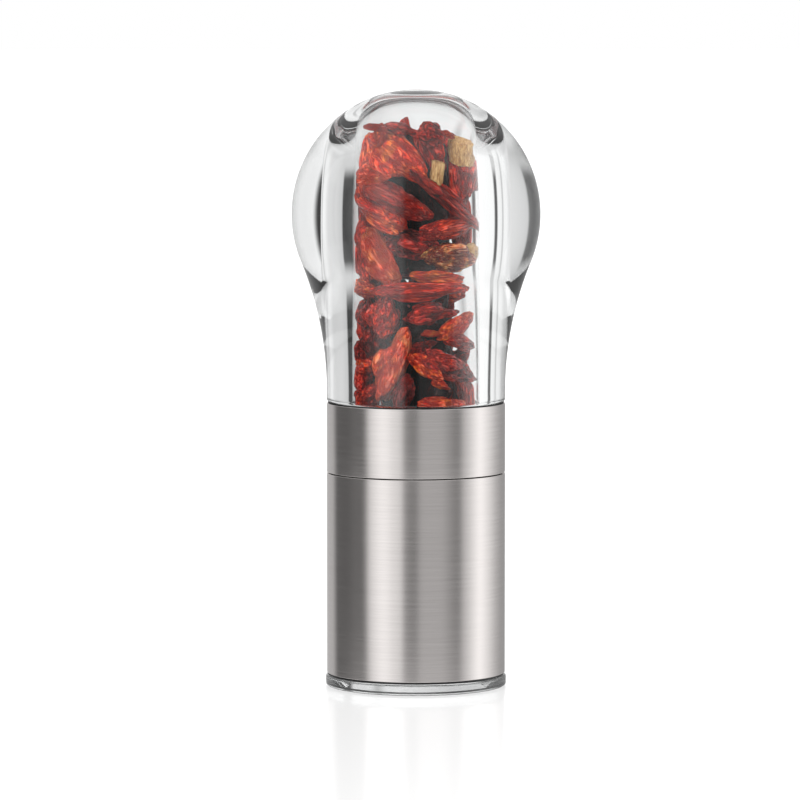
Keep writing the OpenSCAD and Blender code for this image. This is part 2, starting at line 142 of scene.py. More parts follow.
def srgb(code):
    """A colour written as a hex value, made linear."""
    parts = [int(code[i : i + 2], 16) / 255 for i in (0, 2, 4)]
    linear = [p / 12.92 if p <= 0.04045 else ((p + 0.055) / 1.055) ** 2.4 for p in parts]
    return (*linear, 1)


def add_node(tree, kind, settings=None, values=None, links=None):
    """Adds a node, sets its properties and sockets, and links sockets to it."""
    made = tree.nodes.new(kind)
    for key, value in (settings or {}).items():
        setattr(made, key, value)
    for key, value in (values or {}).items():
        made.inputs[key].default_value = value
    for key, source in (links or {}).items():
        tree.links.new(source, made.inputs[key])
    return made


def new_material(name):
    made = bpy.data.materials.new(name)
    made.use_nodes = True
    made.node_tree.nodes.clear()
    return made


def finish_material(made, surface):
    add_node(made.node_tree, "ShaderNodeOutputMaterial", links={"Surface": surface})
    return made


def ramp(tree, source, stops):
    """A colour ramp with its stops given as (place, hex colour)."""
    made = add_node(tree, "ShaderNodeValToRGB", links={"Fac": source})
    elements = made.color_ramp.elements
    while len(elements) < len(stops):
        elements.new(0.5)
    for element, (place, code) in zip(elements, stops):
        element.position = place
        element.color = srgb(code)
    return made


def place_of(tree, scale=(1, 1, 1)):
    """Object coordinates in millimetres, stretched."""
    coordinates = add_node(tree, "ShaderNodeTexCoord")
    return add_node(
        tree,
        "ShaderNodeMapping",
        values={"Scale": tuple(1000 * s for s in scale)},
        links={"Vector": coordinates.outputs["Object"]},
    ).outputs[0]


def polished_acrylic(name, tint="fdfefe", haze=0.0):
    """Cast PMMA, polished: colourless, mirror smooth, and bends light as its index of 1.49 says.
    The light that reaches what stands behind it passes straight through. Haze makes it milky."""
    made = new_material(name)
    tree = made.node_tree
    body = add_node(
        tree,
        "ShaderNodeBsdfPrincipled",
        values={"Base Color": srgb(tint), "Roughness": 0.0, "IOR": 1.49, "Transmission Weight": 1.0},
    )
    if haze:
        milk = add_node(
            tree,
            "ShaderNodeBsdfPrincipled",
            values={"Base Color": srgb("f4f6f6"), "Roughness": 0.4, "IOR": 1.49},
        )
        body = add_node(
            tree, "ShaderNodeMixShader", values={0: haze}, links={1: body.outputs[0], 2: milk.outputs[0]}
        )
    clear = add_node(tree, "ShaderNodeBsdfTransparent", values={"Color": srgb("ffffff")})
    ray = add_node(tree, "ShaderNodeLightPath")
    lighting = add_node(
        tree,
        "ShaderNodeMath",
        {"operation": "MAXIMUM"},
        links={0: ray.outputs["Is Shadow Ray"], 1: ray.outputs["Is Diffuse Ray"]},
    )
    both = add_node(
        tree,
        "ShaderNodeMixShader",
        links={0: lighting.outputs[0], 1: body.outputs[0], 2: clear.outputs[0]},
    )
    return finish_material(made, both.outputs[0])


def satin_acrylic(name):
    """The same PMMA where it is turned and not polished: fine tool marks make it white and dull."""
    made = new_material(name)
    tree = made.node_tree
    marks = add_node(
        tree,
        "ShaderNodeTexNoise",
        values={"Scale": 1.0, "Detail": 2.0},
        links={"Vector": place_of(tree, (0.4, 0.4, 6.0))},
    )
    tone = ramp(tree, marks.outputs[0], [(0.35, "dfe3e4"), (0.65, "f2f4f5")])
    body = add_node(
        tree,
        "ShaderNodeBsdfPrincipled",
        values={"Roughness": 0.6, "IOR": 1.49, "Transmission Weight": 0.15},
        links={"Base Color": tone.outputs[0]},
    )
    return finish_material(made, body.outputs[0])


def brushed_stainless(name, tone, grain_depth=0.008, roughness=0.24):
    """Stainless tube brushed round its axis: fine level scratches that smear lights up and down."""
    made = new_material(name)
    tree = made.node_tree
    fine = add_node(
        tree,
        "ShaderNodeTexNoise",
        values={"Scale": 1.0, "Detail": 4.0, "Roughness": 0.7},
        links={"Vector": place_of(tree, (0.10, 0.10, 9.0))},
    )
    coarse = add_node(
        tree,
        "ShaderNodeTexNoise",
        values={"Scale": 1.0, "Detail": 3.0, "Roughness": 0.6},
        links={"Vector": place_of(tree, (0.06, 0.06, 4.5))},
    )
    grain = add_node(
        tree,
        "ShaderNodeMath",
        {"operation": "MULTIPLY_ADD"},
        {1: 1.0},
        {0: fine.outputs[0], 2: coarse.outputs[0]},
    )
    streak = add_node(
        tree,
        "ShaderNodeMapRange",
        values={"From Min": 0.35, "From Max": 0.65},
        links={"Value": coarse.outputs[0]},
    )
    colour = add_node(
        tree,
        "ShaderNodeMix",
        {"data_type": "RGBA"},
        {"A": srgb(tone[0]), "B": srgb(tone[1])},
        {"Factor": streak.outputs[0]},
    )
    rough = add_node(
        tree,
        "ShaderNodeMapRange",
        values={"From Min": 0.7, "From Max": 1.3, "To Min": roughness - 0.03, "To Max": roughness + 0.03},
        links={"Value": grain.outputs[0]},
    )
    bump = add_node(
        tree,
        "ShaderNodeBump",
        values={"Strength": 0.3, "Distance": grain_depth * MM},
        links={"Height": grain.outputs[0]},
    )
    tangent = add_node(tree, "ShaderNodeTangent", {"direction_type": "RADIAL", "axis": "Z"})
    body = add_node(
        tree,
        "ShaderNodeBsdfPrincipled",
        values={"Metallic": 1.0, "Anisotropic": 0.6, "Anisotropic Rotation": 0.25},
        links={
            "Base Color": colour.outputs[2],
            "Roughness": rough.outputs[0],
            "Normal": bump.outputs[0],
            "Tangent": tangent.outputs[0],
        },
    )
    return finish_material(made, body.outputs[0])


def moulded(name, colour, roughness, grit=0.25, depth=0.01, metallic=0.0, ior=1.5):
    """Moulded plastic, rubber or sintered metal: an even colour with a fine matt grain."""
    made = new_material(name)
    tree = made.node_tree
    grain = add_node(
        tree,
        "ShaderNodeTexNoise",
        values={"Scale": 1.0, "Detail": 3.0},
        links={"Vector": place_of(tree, (1 / grit,) * 3)},
    )
    shade = ramp(tree, grain.outputs[0], [(0.3, colour[0]), (0.7, colour[1])])
    bump = add_node(
        tree,
        "ShaderNodeBump",
        values={"Strength": 0.4, "Distance": depth * MM},
        links={"Height": grain.outputs[0]},
    )
    values = {"Roughness": roughness, "Metallic": metallic}
    if not metallic:
        values["IOR"] = ior
    body = add_node(
        tree,
        "ShaderNodeBsdfPrincipled",
        values=values,
        links={"Base Color": shade.outputs[0], "Normal": bump.outputs[0]},
    )
    return finish_material(made, body.outputs[0])


def chilli_skin(name, deep, mid, light, painted_shade, painted_highlight, fold_shade=0.35, line_shade=0.3):
    """Dried chilli: a waxy skin with wrinkles along the pod. Shade is painted dark into its folds and
    wrinkle valleys, and a highlight is painted pale on its crests.
    """
    made = new_material(name)
    tree = made.node_tree
    blotch = add_node(
        tree,
        "ShaderNodeTexNoise",
        values={"Scale": 0.2, "Detail": 3.0, "Roughness": 0.55, "Distortion": 0.8},
        links={"Vector": place_of(tree)},
    )
    flesh = ramp(tree, blotch.outputs[0], [(0.34, deep), (0.5, mid), (0.66, light)])
    # Painted shade: the colour darkens where the master chilli's mesh is hollow, read from the folds
    # attribute.
    fold = add_node(tree, "ShaderNodeAttribute", {"attribute_name": "folds"})
    depth = add_node(
        tree,
        "ShaderNodeMapRange",
        {"interpolation_type": "SMOOTHSTEP"},
        {"From Min": 0.0, "From Max": 0.22, "To Min": fold_shade, "To Max": 1.0},
        {"Value": fold.outputs["Fac"]},
    )
    pod = add_node(tree, "ShaderNodeAttribute", {"attribute_name": "pod"})
    along = add_node(
        tree,
        "ShaderNodeMapping",
        values={"Scale": (3.0, 3.0, 1.5)},
        links={"Vector": pod.outputs["Vector"]},
    )
    wrinkle = add_node(
        tree,
        "ShaderNodeTexNoise",
        values={"Scale": 1.5, "Detail": 2.5, "Roughness": 0.55, "Distortion": 0.9},
        links={"Vector": along.outputs[0]},
    )
    centred = add_node(
        tree, "ShaderNodeMath", {"operation": "SUBTRACT"}, {1: 0.5}, {0: wrinkle.outputs[0]}
    )
    away = add_node(tree, "ShaderNodeMath", {"operation": "ABSOLUTE"}, links={0: centred.outputs[0]})
    puff = add_node(
        tree,
        "ShaderNodeMapRange",
        {"interpolation_type": "SMOOTHSTEP"},
        {"From Min": 0.0, "From Max": 0.1, "To Min": 0.0, "To Max": 1.0},
        {"Value": away.outputs[0]},
    )
    # Painted shade: the colour darkens in the valleys of the wrinkles.
    line = add_node(
        tree,
        "ShaderNodeMapRange",
        values={"From Min": 0.0, "From Max": 0.7, "To Min": line_shade, "To Max": 1.0},
        links={"Value": puff.outputs[0]},
    )
    lit = add_node(
        tree,
        "ShaderNodeMath",
        {"operation": "MULTIPLY"},
        links={0: depth.outputs[0], 1: line.outputs[0]},
    )
    # Painted highlight: the colour turns pale on the crests of the wrinkles.
    crest = add_node(
        tree,
        "ShaderNodeMapRange",
        {"interpolation_type": "SMOOTHSTEP"},
        {"From Min": 0.08, "From Max": 0.2, "To Min": 0.0, "To Max": 0.45},
        {"Value": away.outputs[0]},
    )
    crest_highlight = add_node(
        tree,
        "ShaderNodeMix",
        {"data_type": "RGBA"},
        {"B": srgb(painted_highlight)},
        {"Factor": crest.outputs[0], "A": flesh.outputs[0]},
    )
    # Folds and wrinkle valleys take the painted shade colour.
    colour = add_node(
        tree,
        "ShaderNodeMix",
        {"data_type": "RGBA"},
        {"A": srgb(painted_shade)},
        {"Factor": lit.outputs[0], "B": crest_highlight.outputs[2]},
    )
    bump = add_node(
        tree,
        "ShaderNodeBump",
        values={"Strength": 1.0, "Distance": 0.6 * MM},
        links={"Height": puff.outputs[0]},
    )
    body = add_node(
        tree,
        "ShaderNodeBsdfPrincipled",
        values={
            "Roughness": 0.2,
            "IOR": 1.42,
            "Subsurface Weight": 0.12,
            "Subsurface Radius": (1.0, 0.25, 0.1),
            "Subsurface Scale": 0.8 * MM,
        },
        links={"Base Color": colour.outputs[2], "Normal": bump.outputs[0]},
    )
    return finish_material(made, body.outputs[0])


def dry_stalk(name):
    """Dried stalk and calyx: pale, dull and fibrous."""
    made = new_material(name)
    tree = made.node_tree
    fibre = add_node(
        tree,
        "ShaderNodeTexNoise",
        values={"Scale": 1.0, "Detail": 5.0, "Roughness": 0.7},
        links={"Vector": place_of(tree, (2.4, 2.4, 0.5))},
    )
    shade = ramp(
        tree, fibre.outputs[0], [(0.3, "6b4526"), (0.45, "a87a45"), (0.6, "d0aa72"), (0.75, "e2c796")]
    )
    bump = add_node(
        tree,
        "ShaderNodeBump",
        values={"Strength": 0.7, "Distance": 0.3 * MM},
        links={"Height": fibre.outputs[0]},
    )
    body = add_node(
        tree,
        "ShaderNodeBsdfPrincipled",
        values={"Roughness": 0.7, "IOR": 1.45},
        links={"Base Color": shade.outputs[0], "Normal": bump.outputs[0]},
    )
    return finish_material(made, body.outputs[0])


def dress(piece, made):
    piece.data.materials.clear()
    piece.data.materials.append(made)


# ---- Camera: long lens, a little above the mill ----

CAMERA_FAR = 1.5
CAMERA_HIGH = 0.204
CAMERA_SIDE = -4.56 * MM
AIM_HIGH = 81.75 * MM
PIXELS_PER_MM = 3.502
SENSOR = 36
PICTURE = 800


def make_camera():
    lens = bpy.data.cameras.new("camera")
    holder = bpy.data.objects.new("camera", lens)
    bpy.context.scene.collection.objects.link(holder)
    aim = Vector((CAMERA_SIDE, 0, AIM_HIGH))
    holder.location = (CAMERA_SIDE, -CAMERA_FAR, CAMERA_HIGH)
    away = (aim - holder.location).length
    holder.rotation_mode = "QUATERNION"
    holder.rotation_quaternion = (aim - holder.location).to_track_quat("-Z", "Y")
    lens.sensor_width = SENSOR
    lens.lens = SENSOR * PIXELS_PER_MM * away / MM / PICTURE
    lens.clip_end = 100
    bpy.context.scene.camera = holder


# ---- Studio ----

# Brightness of the studio round the mill, by the angle from the camera, right side positive:
# a softbox and a dark flag on the left, another flag behind on the right, a softbox on the right
SURROUND = [
    (-180, 0.92), (-168, 0.74), (-142, 0.70), (-128, 0.60), (-125, 0.04), (-99, 0.04),
    (-95, 0.14), (-84, 0.11), (-78, 0.06), (-70, 0.15), (-62, 0.98), (-46, 1.50), (-34, 1.20),
    (-20, 1.00), (-14, 0.16), (0, 0.14), (8, 0.62), (36, 0.50), (50, 0.19), (58, 0.18),
    (64, 0.62), (76, 1.05), (90, 1.50), (108, 1.05), (137, 0.98), (140, 0.05), (145, 0.05),
    (148, 0.95), (159, 0.9), (163, 0.5), (167, 0.95),
]
SURROUND_PEAK = 1.5
# The same studio as the steel mirrors it: low cards stand nearer the sleeve than the flags do
REFLECTED = [
    (-180, 0.95), (-172, 0.95), (-165, 0.54), (-158, 0.53), (-136, 0.55), (-124, 0.13), (-98, 0.12),
    (-84, 0.16), (-77, 0.13), (-70, 0.16), (-62, 0.88), (-46, 1.24), (-38, 1.20), (-30, 0.98),
    (-20, 0.92), (-14, 0.28), (-4, 0.21), (0, 0.23), (6, 0.50), (34, 0.49), (54, 0.22), (58, 0.24),
    (64, 0.60), (72, 0.80), (84, 1.18), (92, 1.38), (102, 1.12), (125, 0.60), (141, 0.41),
    (167, 0.34), (174, 0.95),
]
# The cards end at these heights of view (sine of the angle up or down) and leave a pale tent
CARDS_END = (0.28, 0.42)
CARDS_END_LEVEL = 0.62
TENT_STARTS = (0.45, 0.7)
TENT_LEVEL = 0.95
# The dark place of the camera, which only the clear pieces show: its middle in degrees, its inner
# and outer edge from there in radians, and what is left of the light in it
DARK_MIDDLE = 20
DARK_EDGE = (0.6, 0.75)
DARK_LEVEL = 0.15


def grey(level):
    """A brightness of the studio as a colour, as a share of the peak."""
    return (level / SURROUND_PEAK,) * 3 + (1,)


def band_ramp(tree, share, table):
    """Brightness over the turn round the mill, as a share of the peak."""
    bands = add_node(tree, "ShaderNodeValToRGB", links={"Fac": share.outputs[0]})
    elements = bands.color_ramp.elements
    while len(elements) < len(table):
        elements.new(0.5)
    for element, (degrees, level) in zip(elements, table):
        element.position = (degrees + 180) / 360
        element.color = grey(level)
    return bands.outputs[0]


def make_world():
    world = bpy.data.worlds.new("studio")
    bpy.context.scene.world = world
    world.use_nodes = True
    tree = world.node_tree
    tree.nodes.clear()
    direction = add_node(tree, "ShaderNodeTexCoord")
    parts = add_node(
        tree, "ShaderNodeSeparateXYZ", links={"Vector": direction.outputs["Generated"]}
    )
    behind = add_node(
        tree, "ShaderNodeMath", {"operation": "MULTIPLY"}, {1: -1.0}, {0: parts.outputs["Y"]}
    )
    angle = add_node(
        tree,
        "ShaderNodeMath",
        {"operation": "ARCTAN2"},
        links={0: parts.outputs["X"], 1: behind.outputs[0]},
    )
    share = add_node(
        tree,
        "ShaderNodeMapRange",
        values={"From Min": -math.pi, "From Max": math.pi},
        links={"Value": angle.outputs[0]},
    )
    ray = add_node(tree, "ShaderNodeLightPath")
    mirrored = add_node(
        tree,
        "ShaderNodeMath",
        {"operation": "SUBTRACT", "use_clamp": True},
        links={0: ray.outputs["Is Glossy Ray"], 1: ray.outputs["Transmission Depth"]},
    )
    bands = add_node(
        tree,
        "ShaderNodeMix",
        {"data_type": "RGBA"},
        links={
            "Factor": mirrored.outputs[0],
            "A": band_ramp(tree, share, SURROUND),
            "B": band_ramp(tree, share, REFLECTED),
        },
    )
    steep = add_node(tree, "ShaderNodeMath", {"operation": "ABSOLUTE"}, links={0: parts.outputs["Z"]})
    overhead = add_node(
        tree,
        "ShaderNodeMapRange",
        {"interpolation_type": "SMOOTHSTEP"},
        {"From Min": TENT_STARTS[0], "From Max": TENT_STARTS[1]},
        {"Value": steep.outputs[0]},
    )
    tilted = add_node(
        tree,
        "ShaderNodeMapRange",
        {"interpolation_type": "SMOOTHSTEP"},
        {"From Min": CARDS_END[0], "From Max": CARDS_END[1]},
        {"Value": steep.outputs[0]},
    )
    flags = add_node(
        tree,
        "ShaderNodeMix",
        {"data_type": "RGBA", "blend_type": "LIGHTEN"},
        {"B": grey(CARDS_END_LEVEL)},
        {"Factor": tilted.outputs[0], "A": bands.outputs[2]},
    )
    around = add_node(
        tree,
        "ShaderNodeMix",
        {"data_type": "RGBA"},
        {"B": grey(TENT_LEVEL)},
        {"Factor": overhead.outputs[0], "A": flags.outputs[2]},
    )
    off_middle = add_node(
        tree,
        "ShaderNodeMath",
        {"operation": "SUBTRACT"},
        {1: math.radians(DARK_MIDDLE)},
        {0: angle.outputs[0]},
    )
    aside = add_node(tree, "ShaderNodeMath", {"operation": "ABSOLUTE"}, links={0: off_middle.outputs[0]})
    dim = add_node(
        tree,
        "ShaderNodeMapRange",
        values={
            "From Min": DARK_EDGE[0],
            "From Max": DARK_EDGE[1],
            "To Min": DARK_LEVEL,
            "To Max": 1.0,
        },
        links={"Value": aside.outputs[0]},
    )
    inner = add_node(
        tree,
        "ShaderNodeMath",
        {"operation": "SUBTRACT", "use_clamp": True},
        links={0: ray.outputs["Is Transmission Ray"], 1: tilted.outputs[0]},
    )
    shade = add_node(
        tree,
        "ShaderNodeMix",
        {"data_type": "FLOAT"},
        {"A": 1.0},
        {"Factor": inner.outputs[0], "B": dim.outputs[0]},
    )
    level = add_node(
        tree,
        "ShaderNodeMath",
        {"operation": "MULTIPLY"},
        {1: SURROUND_PEAK},
        {0: shade.outputs[0]},
    )
    studio = add_node(
        tree, "ShaderNodeBackground", links={"Color": around.outputs[2], "Strength": level.outputs[0]}
    )
    white = add_node(tree, "ShaderNodeBackground", values={"Color": (1, 1, 1, 1)})
    seen = add_node(
        tree,
        "ShaderNodeMixShader",
        links={0: ray.outputs["Is Camera Ray"], 1: studio.outputs[0], 2: white.outputs[0]},
    )
    add_node(tree, "ShaderNodeOutputWorld", links={"Surface": seen.outputs[0]})


# Name, angle from the camera, height, width, tallness, distance and brightness
SOFTBOXES = [
    ("left softbox", -30, 1.0, 0.7, 0.9, 1.4, 6.2),
    ("right softbox", 38, 0.5, 0.6, 0.6, 1.6, 2.0),
    ("top softbox", 20, 2.0, 1.0, 1.0, 0.5, 3.0),
]
LAMP_AIM = 0.1


def softbox(name, angle, height, width, tall, far, brightness):
    """A soft lamp at an angle from the camera, turned to the mill. Brightness 1 is white."""
    lamp = bpy.data.lights.new(name, "AREA")
    lamp.shape = "RECTANGLE"
    lamp.size = width
    lamp.size_y = tall
    lamp.energy = brightness * math.pi * width * tall
    holder = bpy.data.objects.new(name, lamp)
    bpy.context.scene.collection.objects.link(holder)
    turn = math.radians(angle)
    holder.location = (far * math.sin(turn), -far * math.cos(turn), height)
    holder.rotation_mode = "QUATERNION"
    holder.rotation_quaternion = (Vector((0, 0, LAMP_AIM)) - holder.location).to_track_quat("-Z", "Y")
    holder.visible_glossy = False
    holder.visible_transmission = False


# How much the white board shines towards the camera, near the mill and far from it
FLOOR_GLOW = (0.47, 0.64)
# Distances from the mill's axis between which it changes, in millimetres
GLOW_REACH = (60.0, 600.0)
FLOOR_R = 12
# Radius in which the board shows through the clear cap
FLOOR_NEAR = 90 * MM


def make_floor():
    deselect_all()
    bpy.ops.mesh.primitive_circle_add(vertices=128, radius=FLOOR_R, fill_type="NGON")
    floor = start_piece("floor")
    made = new_material("white glossy board")
    tree = made.node_tree
    ray = add_node(tree, "ShaderNodeLightPath")
    board = add_node(
        tree,
        "ShaderNodeBsdfPrincipled",
        values={"Base Color": srgb("b4b4b4"), "Roughness": 0.12, "IOR": 1.3},
    )
    reach = add_node(
        tree, "ShaderNodeVectorMath", {"operation": "LENGTH"}, links={0: place_of(tree)}
    )
    strength = add_node(
        tree,
        "ShaderNodeMapRange",
        {"interpolation_type": "SMOOTHSTEP"},
        {
            "From Min": GLOW_REACH[0],
            "From Max": GLOW_REACH[1],
            "To Min": FLOOR_GLOW[0],
            "To Max": FLOOR_GLOW[1],
        },
        {"Value": reach.outputs["Value"]},
    )
    glow = add_node(
        tree,
        "ShaderNodeEmission",
        values={"Color": (1, 1, 1, 1)},
        links={"Strength": strength.outputs[0]},
    )
    lit = add_node(
        tree, "ShaderNodeAddShader", links={0: board.outputs[0], 1: glow.outputs[0]}
    )
    clear = add_node(tree, "ShaderNodeBsdfTransparent")
    beyond = add_node(
        tree,
        "ShaderNodeMath",
        {"operation": "GREATER_THAN"},
        {1: FLOOR_NEAR / MM},
        {0: reach.outputs["Value"]},
    )
    through = add_node(
        tree,
        "ShaderNodeMath",
        {"operation": "MULTIPLY"},
        links={0: ray.outputs["Is Transmission Ray"], 1: beyond.outputs[0]},
    )
    other = add_node(
        tree,
        "ShaderNodeMath",
        {"operation": "MAXIMUM"},
        links={0: ray.outputs["Is Glossy Ray"], 1: through.outputs[0]},
    )
    seen = add_node(
        tree,
        "ShaderNodeMath",
        {"operation": "MAXIMUM"},
        links={0: ray.outputs["Is Camera Ray"], 1: ray.outputs["Is Transmission Ray"]},
    )
    plain = add_node(
        tree,
        "ShaderNodeMixShader",
        links={0: seen.outputs[0], 1: board.outputs[0], 2: lit.outputs[0]},
    )
    both = add_node(
        tree,
        "ShaderNodeMixShader",
        links={0: other.outputs[0], 1: plain.outputs[0], 2: clear.outputs[0]},
    )
    finish_material(made, both.outputs[0])
    dress(floor, made)


# ---- Pieces turned on a lathe ----


def hollow_r(height):
    """Radius of the clear head's hollow at a height."""
    rise = (height - BORE_TOP + SHOULDER_H) / SHOULDER_H
    if rise < 0:
        return BORE_R
    return CEILING_R + (BORE_R - CEILING_R) * math.sqrt(max(0, 1 - rise**2))


def head_outline():
    """The clear head from its top down its outside, over the spigot and up its hollow."""
    ball_z = HEAD_TOP - BALL_R
    straight_top = SEAL_TOP + NECK_STRAIGHT
    rise = ball_z - straight_top
    waist_r = (rise**2 + TUBE_R**2 - BALL_R**2) / (2 * (BALL_R - TUBE_R))
    waist = math.degrees(math.atan2(rise, TUBE_R + waist_r))
    points = arc((0, ball_z), BALL_R, 90, -waist, 90)
    points += arc((TUBE_R + waist_r, straight_top), waist_r, 180 - waist, 180, 40)[1:]
    points += arc((TUBE_R - NECK_EDGE, SEAL_TOP + NECK_EDGE), NECK_EDGE, 0, -90, 6)
    points += [(SPIGOT_R, SEAL_TOP), (SPIGOT_R, SPIGOT_LOW + SPIGOT_CHAMFER)]
    points += [(SPIGOT_R - SPIGOT_CHAMFER, SPIGOT_LOW), (BORE_R, SPIGOT_LOW)]
    points += [(BORE_R, BORE_TOP - SHOULDER_H)]
    for i in range(1, SHOULDER_STEPS + 1):
        turn = math.radians(90 * i / SHOULDER_STEPS)
        reach = CEILING_R + (BORE_R - CEILING_R) * math.cos(turn)
        points.append((reach, BORE_TOP - SHOULDER_H * (1 - math.sin(turn))))
    points += [(0, BORE_TOP)]
    points[0] = (0, HEAD_TOP)
    return points


def make_head():
    """The polished head; its spigot, below the seal, is left as turned, so it glows softly."""
    head = lathe("clear_head", head_outline(), closed=False, smooth_angle=50)
    dress(head, polished_acrylic("cast acrylic, polished"))
    head.data.materials.append(satin_acrylic("cast acrylic, left as turned"))
    for face in head.data.polygons:
        out = math.hypot(face.center.x, face.center.y)
        if face.center.z < SEAL_TOP - SPIGOT_MARGIN and out > BORE_R + SPIGOT_MARGIN:
            face.material_index = 1
    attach(head, "head")
    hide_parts("head_dome")


def make_cap():
    top = RIM_Z
    points = [(0, CAP_RELIEF), (PLUG_R - PLUG_WALL, CAP_RELIEF)]
    points += [(PLUG_R - PLUG_WALL + CAP_RELIEF, 0)]
    points += arc((DISC_R - CAP_EDGE, CAP_EDGE), CAP_EDGE, -90, 0, 8)
    points += arc((DISC_R - CAP_EDGE, top - CAP_EDGE), CAP_EDGE, 0, 90, 8)
    points += [(PLUG_R, top), (PLUG_R, PLUG_TOP - PLUG_CHAMFER), (PLUG_R - PLUG_CHAMFER, PLUG_TOP)]
    points += [(PLUG_R - PLUG_WALL, PLUG_TOP), (PLUG_R - PLUG_WALL, CAP_FLOOR), (0, CAP_FLOOR)]
    cap = lathe("clear_cap", points, closed=False)
    dress(cap, polished_acrylic("moulded clear acrylic", "fdfefe", haze=CAP_HAZE))
    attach(cap, "base")
    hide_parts("base_cap")


def steel_shell(name, low, top, body, node, made):
    edge = STEEL_EDGE
    inner = TUBE_R - STEEL_WALL
    points = arc((TUBE_R - edge, low + edge), edge, -90, 0, 4)
    points += arc((TUBE_R - edge, top - edge), edge, 0, 90, 4)
    points += arc((inner + edge, top - edge), edge, 90, 180, 4)
    points += arc((inner + edge, low + edge), edge, 180, 270, 4)
    shell = lathe(name, points, closed=True, smooth_angle=30)
    dress(shell, made)
    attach(shell, body)
    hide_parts(node)


# ---- Dried chillies ----

MASTER_N = 7
MASTER_AROUND = 72
MASTER_ALONG = 56


def displace(piece, kind, size, strength, **settings):
    texture = bpy.data.textures.new(piece.name + " " + kind.lower(), kind)
    texture.noise_scale = size
    for key, value in settings.items():
        setattr(texture, key, value)
    change = piece.modifiers.new("dent", "DISPLACE")
    change.texture = texture
    change.strength = strength
    change.mid_level = 0.5
    change.texture_coords = "LOCAL"
    bpy.ops.object.modifier_apply(modifier=change.name)


def draw_out(piece, blunt, sharp):
    """Draws one end of a ball out to a chilli's tip and leaves the other a blunt shoulder."""
    for vertex in piece.data.vertices:
        along = max(-1, min(1, vertex.co.z))
        round_width = math.sqrt(max(1e-6, 1 - along * along))
        s = (along + 1) / 2
        wanted = math.sin(math.pi * s**blunt) ** sharp
        vertex.co.x *= wanted / round_width
        vertex.co.y *= wanted / round_width


def master_chilli(number):
    """A chilli one unit thick and long, on the Z axis with its tip up; copies are stretched."""
    dice = random.Random(40 + number)
    deselect_all()
    bpy.ops.mesh.primitive_uv_sphere_add(
        segments=MASTER_AROUND, ring_count=MASTER_ALONG, radius=1, location=(0, 0, 0)
    )
    piece = start_piece(f"master_{number}")
    draw_out(piece, dice.uniform(0.72, 0.95), dice.uniform(0.7, 0.95))
    pod = piece.data.attributes.new("pod", "FLOAT_VECTOR", "POINT")
    for vertex in piece.data.vertices:
        pod.data[vertex.index].vector = vertex.co + Vector((2.3 * number, 0, 0))
    start = Vector((3.7 * number, 0, 0))
    piece.data.transform(Matrix.Translation(start))
    displace(piece, "CLOUDS", 0.95, dice.uniform(0.55, 0.85), noise_depth=0)
    displace(piece, "CLOUDS", 0.4, dice.uniform(0.18, 0.28), noise_depth=1)
    piece.data.transform(Matrix.Translation(-start))
    bend = piece.modifiers.new("bend", "SIMPLE_DEFORM")
    bend.deform_method = "BEND"
    bend.deform_axis = "X"
    bend.angle = math.radians(dice.uniform(-30, 45))
    bpy.ops.object.modifier_apply(modifier=bend.name)
    bpy.ops.object.shade_smooth()
    # Painted shade: darkness worked out from the hollows of the mesh and stored on its points as folds.
    piece.data.color_attributes.new("folds", "BYTE_COLOR", "POINT")
    bpy.ops.object.mode_set(mode="VERTEX_PAINT")
    bpy.ops.paint.vertex_color_dirt(blur_strength=0.8, blur_iterations=2, clean_angle=2.4, dirt_angle=0.6)
    bpy.ops.object.mode_set(mode="OBJECT")
    return piece


def master_stub():
    """A cut end of stalk, one unit thick and long: a short rough cylinder on the Z axis."""
    deselect_all()
    bpy.ops.mesh.primitive_cylinder_add(
        vertices=24, radius=1, depth=2, end_fill_type="TRIFAN", location=(0, 0, 0)
    )
    piece = start_piece("master_stub")
    edge = piece.modifiers.new("edge", "BEVEL")
    edge.width = 0.12
    edge.segments = 2
    bpy.ops.object.modifier_apply(modifier=edge.name)
    finer = piece.modifiers.new("finer", "SUBSURF")
    finer.subdivision_type = "SIMPLE"
    finer.levels = 3
    bpy.ops.object.modifier_apply(modifier=finer.name)
    displace(piece, "CLOUDS", 0.5, 0.3, noise_depth=1)
    displace(piece, "CLOUDS", 0.15, 0.14, noise_depth=1)
    bpy.ops.object.shade_smooth()
    return piece


